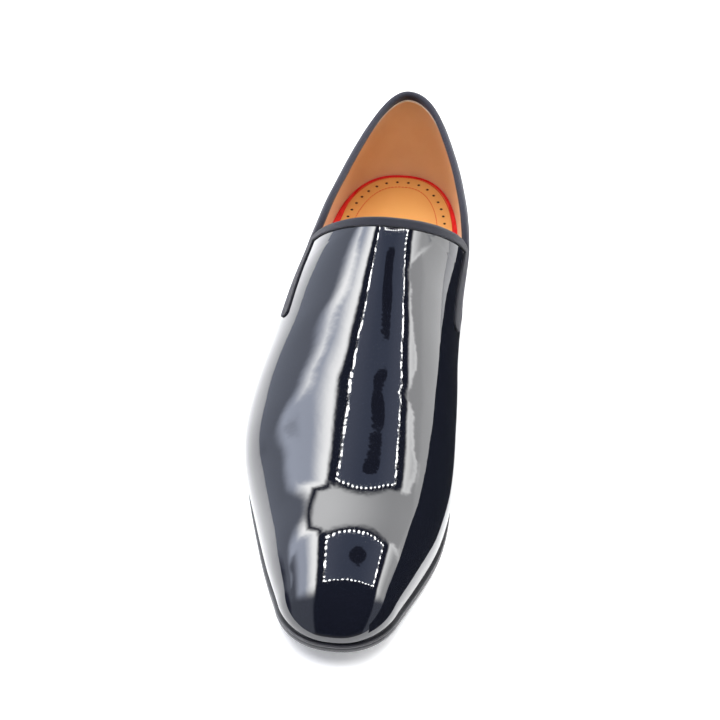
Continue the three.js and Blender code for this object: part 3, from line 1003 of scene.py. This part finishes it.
def ribbon_profile():
    """Points round the ribbon's section. Each is where it lies as a U folded over the edge and where
    it lies in a flat tail: distance from the edge and height over the outer surface."""
    outer = RIBBON_THICKNESS
    gap = 0.02
    fold = (WALL + 2 * outer) / 2
    round_off = 0.25
    seam = CLEARANCE / 2
    rows = []
    for share in np.linspace(0, 1, 9):
        place = RIBBON_OUTSIDE - round_off - share * (RIBBON_OUTSIDE - round_off)
        rows.append(((place, outer), (seam + (place / RIBBON_OUTSIDE) * (RIBBON_OUTSIDE - seam), outer)))
    for share in np.linspace(0, 1, 11)[1:]:
        angle = share * math.pi
        place = (-fold * math.sin(angle), outer - fold + fold * math.cos(angle))
        rows.append((place, (seam, outer - share * (outer - gap) * 0.5)))
    inner = -WALL - outer
    for place in (0.9, 1.8, RIBBON_INSIDE - round_off):
        rows.append(((place, inner), (seam, outer * 0.5)))
    rows.append(((RIBBON_INSIDE, inner + round_off), (seam, outer * 0.5)))
    for place in (RIBBON_INSIDE, 1.5, 0.3):
        rows.append(((place, -WALL + gap), (seam, outer * 0.4)))
    rows.append(((-0.02, -WALL / 2), (seam, outer * 0.2)))
    for place in (0.3, 1.5, RIBBON_OUTSIDE):
        rows.append(((place, gap), (max(place, seam), gap)))
    rows.append(((RIBBON_OUTSIDE, outer - round_off), (RIBBON_OUTSIDE, outer - round_off)))
    return rows


def profile_points(path, row, reach):
    """Where one point of the section lies all along the ribbon."""
    (folded_place, folded_up), (flat_place, flat_up) = row
    tail = path["tail"]
    place = folded_place + (flat_place - folded_place) * tail
    up = folded_up + (flat_up - folded_up) * tail
    left = np.clip(TAIL_CORNER - path["left"], 0, TAIL_CORNER)
    widest = RIBBON_OUTSIDE - TAIL_CORNER + np.sqrt(TAIL_CORNER ** 2 - left ** 2)
    place = np.minimum(place, np.maximum(widest, 0.16))
    inside = np.clip(place, 0, reach[-1])
    step = reach[1] - reach[0]
    k = np.clip((inside / step).astype(int), 0, len(reach) - 2)
    share = (inside / step - k)[:, None]
    index = np.arange(len(place))
    base = path["places"][index, k] * (1 - share) + path["places"][index, k + 1] * share
    normal = unit(path["ups"][index, k] * (1 - share) + path["ups"][index, k + 1] * share)
    beyond = np.minimum(place, 0)[:, None]
    return base + path["way"] * beyond + normal * up[:, None]


def ribbons():
    collar = ribbon("collar_binding", collar_path, -1)
    finish_piece(collar, "collar_ribbon",
                 ribbed_ribbon("collar_ribbed", (0.013, 0.013, 0.020), (0.036, 0.036, 0.054)))
    # The throat's ribbon is the same ribbon as the collar's; its darker colours below are painted shade.
    throat = ribbon("throat_binding", throat_path, 1)
    finish_piece(throat, "throat_ribbon",
                 ribbed_ribbon("throat_ribbed_shaded", (0.007, 0.007, 0.012), (0.016, 0.017, 0.029)))


upper_skin()
upper_lining()
outsole()
sock()
sock_details()
heel()
ribbons()
lining_rim()


# Stage, light and camera

CAMERA_PLACE = (76.5, -816.7, 724.2)
TARGET_HEIGHT = 0.035
LENS = 105.0
SENSOR_WIDTH = 36.0

# The floor, the black card and the fill light, in metres
FLOOR_HALF = 6.0
FLOOR_GLOW = 0.3
CARD_ASIDE = 0.060
CARD_BACK = -0.045
CARD_FRONT = -0.30
CARD_BACK_HEIGHT = 0.060
CARD_FRONT_HEIGHT = 0.040
FILL_PLACE = (0.0, -0.25, 1.6)
FILL_SIZE = 1.4
FILL_POWER = 22.0

# The panel, the dark figure in it and its lamps, in degrees. Lamps are given by their pitch, their
# radius along the panel's edge and their radius across it.
PANEL_ASIDE = 4.5
PANEL_HALF = 27.5
PANEL_REAR = 77.0
PANEL_FRONT = 91.0
FIGURE_ASIDE = 7.0
FIGURE_OVER = 84.5
FIGURE_WIDE = 8.5
FIGURE_DEEP = 2.0
SIDE_LAMPS = (2.2, 0.5, 1.05)
END_LAMPS = (4.2, 1.0, 0.36)
LAMP_LIGHT = 30.0

# Behind the panel the dark margins and the wall spread outwards
DRIFT_BEGINS = PANEL_REAR - 5.0
DRIFT_RATE = 2.0
DRIFT_MOST = 12.0
DRIFT_ASIDE = 0.2

WHITE = (1.0, 1.0, 1.0)
COOL = (0.86, 0.93, 1.12)
NIGHT = (1.0, 1.0, 1.6)
PANEL_MIDDLE_BLUE = (0.8, 0.95, 1.4)
PANEL_EDGE_BLUE = (0.85, 0.95, 1.3)
FIGURE_BROWN = (1.4, 1.0, 1.2)


def camera():
    data = bpy.data.cameras.new("camera")
    data.lens = LENS
    data.sensor_width = SENSOR_WIDTH
    data.clip_end = 20.0
    obj = linked("camera", data)
    low, high = cad_box
    place = Vector(CAMERA_PLACE) * MM
    target = (Vector(low) + Vector(high)) / 2
    target.z = TARGET_HEIGHT
    obj.location = place
    obj.rotation_euler = (target - place).to_track_quat("-Z", "Y").to_euler()
    bpy.context.scene.camera = obj


def stage_plane(name, corners, look):
    mesh = bpy.data.meshes.new(name)
    mesh.from_pydata(corners, [], [(0, 1, 2, 3)])
    mesh.materials.append(look)
    obj = linked(name, mesh)
    return obj


def floor():
    """A plain pale plane with a little light of its own."""
    size = FLOOR_HALF
    corners = [(-size, -size, 0), (size, -size, 0), (size, size, 0), (-size, size, 0)]
    look, _, _ = material("floor_paper", (0.9, 0.9, 0.9), 0.9, Emission_Color=(1, 1, 1, 1),
                          Emission_Strength=FLOOR_GLOW)
    stage_plane("floor", corners, look)


def dark_card():
    """A black card beside the medial wall, hidden from the camera, that only the gloss mirrors."""
    corners = [(CARD_ASIDE, CARD_BACK, 0.0), (CARD_ASIDE, CARD_FRONT, 0.0),
               (CARD_ASIDE, CARD_FRONT, CARD_FRONT_HEIGHT), (CARD_ASIDE, CARD_BACK, CARD_BACK_HEIGHT)]
    look, _, _ = material("black_card", (0.01, 0.01, 0.014), 0.9)
    obj = stage_plane("dark_card", corners, look)
    obj.visible_camera = False
    obj.visible_diffuse = False
    obj.visible_shadow = False


def fill_light():
    """A wide soft light overhead that the patent doesn't mirror."""
    data = bpy.data.lights.new("fill", "AREA")
    data.size = FILL_SIZE
    data.energy = FILL_POWER
    obj = linked("fill", data)
    obj.location = FILL_PLACE
    obj.visible_glossy = False


class Sums:
    """Arithmetic on node sockets, each result a socket."""

    def __init__(self, tree):
        self.tree = tree

    def math(self, operation, *values):
        made = node(self.tree, "ShaderNodeMath", operation=operation)
        for socket, value in zip(made.inputs, values):
            put(self.tree, value, socket)
        return made.outputs["Value"]

    def step(self, value, low, high):
        """0 below low and 1 above high, smooth between; low may be the greater."""
        made = node(self.tree, "ShaderNodeMapRange", {"Value": value, "From Min": low, "From Max": high},
                    interpolation_type="SMOOTHSTEP")
        return made.outputs["Result"]

    def both(self, *values):
        total = values[0]
        for value in values[1:]:
            total = self.math("MULTIPLY", total, value)
        return total

    def between(self, value, low, high, soft):
        rise = self.step(value, low - soft, low + soft)
        fall = self.step(value, high + soft, high - soft)
        return self.both(rise, fall)

    def blend(self, share, below, above):
        made = node(self.tree, "ShaderNodeMix", data_type="RGBA")
        for place, value in ((0, share), (6, below), (7, above)):
            put(self.tree, value, made.inputs[place])
        return made.outputs[2]

    def falls(self, value, first, *rows):
        """The first colour, then each row's colour once value has passed from its low to its high."""
        color = first
        for low, high, after in rows:
            color = self.blend(self.step(value, low, high), color, after)
        return color


def glow(level, tint=WHITE):
    return (level * tint[0], level * tint[1], level * tint[2], 1.0)


def studio():
    """A soft studio as the shoe sees it: a level blue-grey panel overhead with a rim of small lamps, dark
    surrounds, white curtains at the sides and a pale wall behind. Angles are in degrees: aside is how
    far a direction lies to the side, and over runs from 0 behind the shoe, through 90 overhead, to
    180 in front of the toe."""
    world = bpy.data.worlds.new("studio")
    world.use_nodes = True
    tree = world.node_tree
    sums = Sums(tree)
    way = node(tree, "ShaderNodeTexCoord").outputs["Generated"]
    split = node(tree, "ShaderNodeSeparateXYZ", {"Vector": way}).outputs
    aside = sums.math("DEGREES", sums.math("ARCSINE", split["X"]))
    over = sums.math("DEGREES", sums.math("ARCTAN2", split["Z"], split["Y"]))
    below = sums.math("MAXIMUM", sums.math("SUBTRACT", DRIFT_BEGINS, over), 0.0)
    drift = sums.math("MINIMUM", sums.math("MULTIPLY", below, DRIFT_RATE), DRIFT_MOST)
    centre = sums.math("MULTIPLY_ADD", drift, DRIFT_ASIDE, PANEL_ASIDE)
    signed = sums.math("SUBTRACT", aside, centre)
    wide = sums.math("ABSOLUTE", signed)
    spread = sums.math("SUBTRACT", wide, drift)
    medial = sums.step(signed, -2.0, 2.0)

    room = sums.blend(sums.step(spread, 33.5, 38.0), wall_and_front(sums, signed, over, medial),
                      curtains(sums, spread, over, aside, medial))
    room = sums.blend(margins(sums, spread, over, medial), room, glow(0.03, NIGHT))
    panel = sums.both(sums.between(wide, -1, PANEL_HALF, 0.25),
                      sums.between(over, PANEL_REAR, PANEL_FRONT, 0.25))
    lit = sums.falls(wide, glow(0.42, PANEL_MIDDLE_BLUE), (6, PANEL_HALF, glow(0.62, PANEL_EDGE_BLUE)))
    room = sums.blend(panel, room, lit)
    room = sums.blend(lamps(sums, wide, over, aside), room, glow(LAMP_LIGHT))
    room = sums.blend(figure(sums, aside, over), room, glow(0.015, FIGURE_BROWN))

    background = tree.nodes["Background"]
    tree.links.new(room, background.inputs["Color"])
    background.inputs["Strength"].default_value = 1.0
    bpy.context.scene.world = world


def curtains(sums, spread, over, aside, medial):
    """White curtains beside the panel that fall off to grey, and dark beyond them."""
    lateral_side = sums.falls(spread, glow(9.0), (38, 50, glow(3.4, COOL)), (54, 68, glow(0.7, COOL)))
    medial_side = sums.falls(spread, glow(7.0), (35, 50, glow(3.0)), (54, 64, glow(0.9, COOL)))
    both_sides = sums.blend(medial, lateral_side, medial_side)
    lateral_low = sums.falls(over, glow(0.9, COOL), (50, 66, both_sides))
    medial_low = sums.falls(over, glow(3.0), (60, 72, both_sides))
    low = sums.blend(medial, lateral_low, medial_low)
    sides = sums.falls(over, low, (91, 108, glow(0.5, COOL)))
    return sums.falls(sums.math("ABSOLUTE", aside), sides, (72, 80, glow(0.08, NIGHT)))


def wall_and_front(sums, signed, over, medial):
    """The pale wall behind the shoe, and the dim room in front of it."""
    pale = sums.falls(signed, glow(5.2), (-34, 30, glow(2.6)))
    low = sums.blend(medial, glow(1.2, COOL), glow(2.6))
    wall = sums.falls(over, low, (20, 66, pale))
    front = sums.falls(over, glow(0.03, NIGHT), (160, 178, glow(0.3)))
    return sums.falls(over, wall, (72.5, 76.0, front))


def margins(sums, spread, over, medial):
    """The dark margins beside the panel, and on the lateral side beside the wall too."""
    beside_panel = sums.both(sums.between(spread, PANEL_HALF, 35.0, 1.6),
                             sums.between(over, 73.5, 100, 1.5))
    beside_wall = sums.both(sums.between(spread, 31.5, 36.5, 2.5), sums.between(over, 52.0, 74.5, 1.5),
                            sums.math("SUBTRACT", 1.0, medial))
    return sums.math("MAXIMUM", beside_panel, beside_wall)


def figure(sums, aside, over):
    """A dark oval in the panel."""
    across = sums.math("DIVIDE", sums.math("SUBTRACT", aside, FIGURE_ASIDE), FIGURE_WIDE)
    ahead = sums.math("DIVIDE", sums.math("SUBTRACT", over, FIGURE_OVER), FIGURE_DEEP)
    gap = sums.math("ADD", sums.math("POWER", across, 2.0), sums.math("POWER", ahead, 2.0))
    return sums.step(gap, 1.15, 0.85)


def lamps(sums, wide, over, aside):
    """The rim of small round lamps along the panel's four edges."""
    def row(across, along_edge, sizes, within):
        pitch, long_radius, cross_radius = sizes
        offset = sums.math("DIVIDE", sums.math("PINGPONG", along_edge, pitch / 2), long_radius)
        aside_row = sums.math("DIVIDE", across, cross_radius)
        distance = sums.math("ADD", sums.math("POWER", aside_row, 2.0), sums.math("POWER", offset, 2.0))
        return sums.both(sums.step(distance, 1.3, 0.7), within)

    across_sides = sums.math("SUBTRACT", wide, PANEL_HALF)
    side_rows = row(across_sides, over, SIDE_LAMPS, sums.between(over, PANEL_REAR, PANEL_FRONT, 0.3))
    across_panel = sums.between(wide, -1, PANEL_HALF, 0.3)
    rear = row(sums.math("SUBTRACT", over, PANEL_REAR), aside, END_LAMPS, across_panel)
    front = row(sums.math("SUBTRACT", over, PANEL_FRONT), aside, END_LAMPS, across_panel)
    total = sums.math("ADD", side_rows, sums.math("ADD", rear, front))
    return sums.math("MINIMUM", total, 1.0)


camera()
floor()
dark_card()
fill_light()
studio()
bpy.context.scene.view_settings.view_transform = "Standard"
